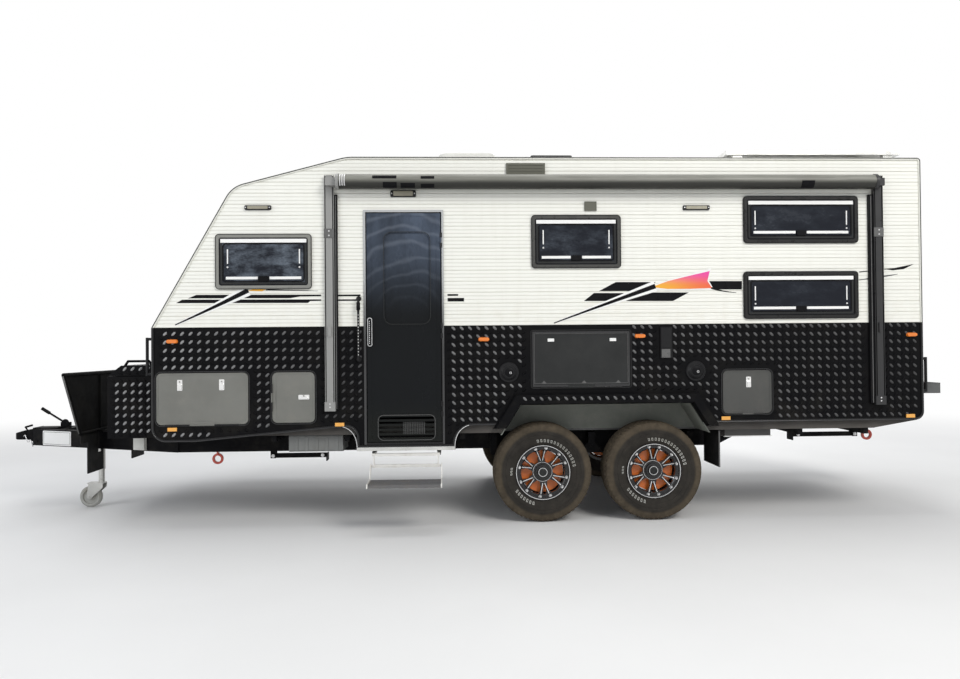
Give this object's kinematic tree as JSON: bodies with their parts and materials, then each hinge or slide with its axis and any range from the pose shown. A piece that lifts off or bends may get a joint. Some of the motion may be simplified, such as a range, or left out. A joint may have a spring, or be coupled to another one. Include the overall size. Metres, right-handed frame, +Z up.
{
  "type": "travel caravan",
  "caption": "Twin-axle travel caravan with drawbar, stone guard, lockers, fold-out step, rolled awning, corner steadies and jockey wheel.",
  "frame": {"origin": "on the ground, at the middle of the bounding box's base", "axes": "+Z up; +X towards the rear of the van, the drawbar points to -X; the entry door is on the -Y side"},
  "size_m": [8.3593, 2.838, 3.215],
  "materials": {
    "white_panel": "gloss",
    "black_cladding": "satin",
    "black_trim": "satin",
    "floor_board": "matt",
    "grey_plastic": "matt",
    "tread_plate": "raised pattern",
    "tinted_glass": "gloss",
    "dark_door": "gloss",
    "grey_locker": "satin",
    "black_chassis": "satin",
    "zinc": "dull",
    "rubber": "matt",
    "pale_rubber": "matt",
    "red_steel": "satin",
    "white_steel": "satin",
    "awning_cloth": "woven",
    "awning_metal": "anodised",
    "white_plastic": "satin",
    "smoke_plastic": "gloss",
    "solar_glass": "gloss",
    "amber_lens": "gloss",
    "alloy": "painted and machined",
    "tyre": "dusty"
  },
  "bodies": {
    "van": {"near_wall_upper": "white_panel", "far_wall_upper": "white_panel", "front_wall_upper": "white_panel", "roof_panel": "white_panel", "near_wall_lower": "black_cladding", "far_wall_lower": "black_cladding", "front_wall_lower": "black_cladding", "rear_wall": "white_panel", "floor_panel": "floor_board", "wheel_wells": "grey_plastic", "wheel_spats": "tread_plate", "edge_mouldings": "black_trim", "opening_frames": "black_trim", "window_panes": "tinted_glass", "chassis_rails": "black_chassis", "drawbar": "black_chassis", "coupling": "zinc", "stone_guard": "black_chassis", "mud_flaps": "rubber", "toolbox": "tread_plate", "jockey_tube": "zinc", "axles": "black_chassis", "leaf_springs": "black_chassis", "water_tanks": "grey_plastic", "tow_rings": "red_steel", "awning_roller": "awning_cloth", "awning_arms": "awning_metal", "air_conditioner": "white_plastic", "solar_panel": "solar_glass", "hatch_frame": "white_plastic", "lamps": "amber_lens", "wall_fittings": "grey_plastic", "rear_bar": "black_chassis", "spare_rim": "alloy", "spare_tyre": "tyre"},
    "entry_door": {"entry_door": "dark_door", "door_pane": "tinted_glass"},
    "near_tunnel_door": {"near_tunnel_door": "grey_locker"},
    "far_tunnel_door": {"far_tunnel_door": "grey_locker"},
    "small_locker_door": {"small_locker_door": "grey_locker"},
    "rear_locker_door": {"rear_locker_door": "grey_locker"},
    "picnic_table": {"picnic_table": "dark_door"},
    "toolbox_lid": {"toolbox_lid": "tread_plate"},
    "hatch_lid": {"hatch_lid": "smoke_plastic"},
    "front_near_steady": {"front_near_steady": "zinc"},
    "front_far_steady": {"front_far_steady": "zinc"},
    "rear_near_steady": {"rear_near_steady": "zinc"},
    "rear_far_steady": {"rear_far_steady": "zinc"},
    "jockey_fork": {"jockey_fork": "zinc"},
    "jockey_wheel": {"jockey_wheel": "pale_rubber"},
    "step_frame": {"step_frame": "white_steel"},
    "step_tread": {"step_tread": "white_steel"},
    "front_near_wheel": {"front_near_tyre": "tyre", "front_near_rim": "alloy"},
    "front_far_wheel": {"front_far_tyre": "tyre", "front_far_rim": "alloy"},
    "rear_near_wheel": {"rear_near_tyre": "tyre", "rear_near_rim": "alloy"},
    "rear_far_wheel": {"rear_far_tyre": "tyre", "rear_far_rim": "alloy"}
  },
  "joints": [
    {"name": "front_near_wheel_spin", "type": "hinge", "parent": "van", "child": "front_near_wheel", "pos_m": [0.5875, -0.895, 0.4], "axis": [0, 1, 0], "continuous": true},
    {"name": "front_far_wheel_spin", "type": "hinge", "parent": "van", "child": "front_far_wheel", "pos_m": [0.5875, 1.175, 0.4], "axis": [0, 1, 0], "continuous": true},
    {"name": "rear_near_wheel_spin", "type": "hinge", "parent": "van", "child": "rear_near_wheel", "pos_m": [1.4925, -0.895, 0.4], "axis": [0, 1, 0], "continuous": true},
    {"name": "rear_far_wheel_spin", "type": "hinge", "parent": "van", "child": "rear_far_wheel", "pos_m": [1.4925, 1.175, 0.4], "axis": [0, 1, 0], "continuous": true},
    {"name": "entry_door_hinge", "type": "hinge", "parent": "van", "child": "entry_door", "pos_m": [-0.2235, -1.093, 1.53], "axis": [0, 0, 1], "range_deg": [0, 160]},
    {"name": "near_tunnel_hinge", "type": "hinge", "parent": "van", "child": "near_tunnel_door", "pos_m": [-2.0975, -1.093, 0.8255], "axis": [1, 0, 0], "range_deg": [0, 165]},
    {"name": "far_tunnel_hinge", "type": "hinge", "parent": "van", "child": "far_tunnel_door", "pos_m": [-2.0975, 1.373, 0.8255], "axis": [-1, 0, 0], "range_deg": [0, 165]},
    {"name": "rear_locker_hinge", "type": "hinge", "parent": "van", "child": "rear_locker_door", "pos_m": [2.2395, -1.093, 0.8615], "axis": [1, 0, 0], "range_deg": [0, 165]},
    {"name": "picnic_table_hinge", "type": "hinge", "parent": "van", "child": "picnic_table", "pos_m": [0.893, -1.093, 1.0915], "axis": [1, 0, 0], "range_deg": [0, 90]},
    {"name": "small_locker_hinge", "type": "hinge", "parent": "van", "child": "small_locker_door", "pos_m": [-1.5575, -1.093, 1.033], "axis": [0, 0, -1], "range_deg": [0, 110]},
    {"name": "toolbox_lid_hinge", "type": "hinge", "parent": "van", "child": "toolbox_lid", "pos_m": [-2.504, 0.14, 1.296], "axis": [0, 1, 0], "range_deg": [0, 60]},
    {"name": "hatch_lid_hinge", "type": "hinge", "parent": "van", "child": "hatch_lid", "pos_m": [0.927, -0.51, 2.997], "axis": [0, 1, 0], "range_deg": [0, 55]},
    {"name": "front_near_steady_pivot", "type": "hinge", "parent": "van", "child": "front_near_steady", "pos_m": [-1.66, -0.58, 0.51], "axis": [0, 1, 0], "range_deg": [0, 85]},
    {"name": "rear_near_steady_pivot", "type": "hinge", "parent": "van", "child": "rear_near_steady", "pos_m": [3.38, -0.58, 0.63], "axis": [0, -1, 0], "range_deg": [0, 85]},
    {"name": "front_far_steady_pivot", "type": "hinge", "parent": "van", "child": "front_far_steady", "pos_m": [-1.66, 0.86, 0.51], "axis": [0, 1, 0], "range_deg": [0, 85]},
    {"name": "rear_far_steady_pivot", "type": "hinge", "parent": "van", "child": "rear_far_steady", "pos_m": [3.38, 0.86, 0.63], "axis": [0, -1, 0], "range_deg": [0, 85]},
    {"name": "jockey_swivel", "type": "hinge", "parent": "van", "child": "jockey_fork", "pos_m": [-3.325, -0.072, 0.26], "axis": [0, 0, 1], "continuous": true},
    {"name": "jockey_wheel_spin", "type": "hinge", "parent": "jockey_fork", "child": "jockey_wheel", "pos_m": [-3.417, -0.072, 0.095], "axis": [0, 1, 0], "continuous": true},
    {"name": "step_slide", "type": "slide", "parent": "van", "child": "step_frame", "axis": [0, 1, 0], "range_m": [0, 0.26]},
    {"name": "step_fold", "type": "hinge", "parent": "step_frame", "child": "step_tread", "pos_m": [-0.508, -1.116, 0.488], "axis": [1, 0, 0], "range_deg": [0, 135]}
  ]
}
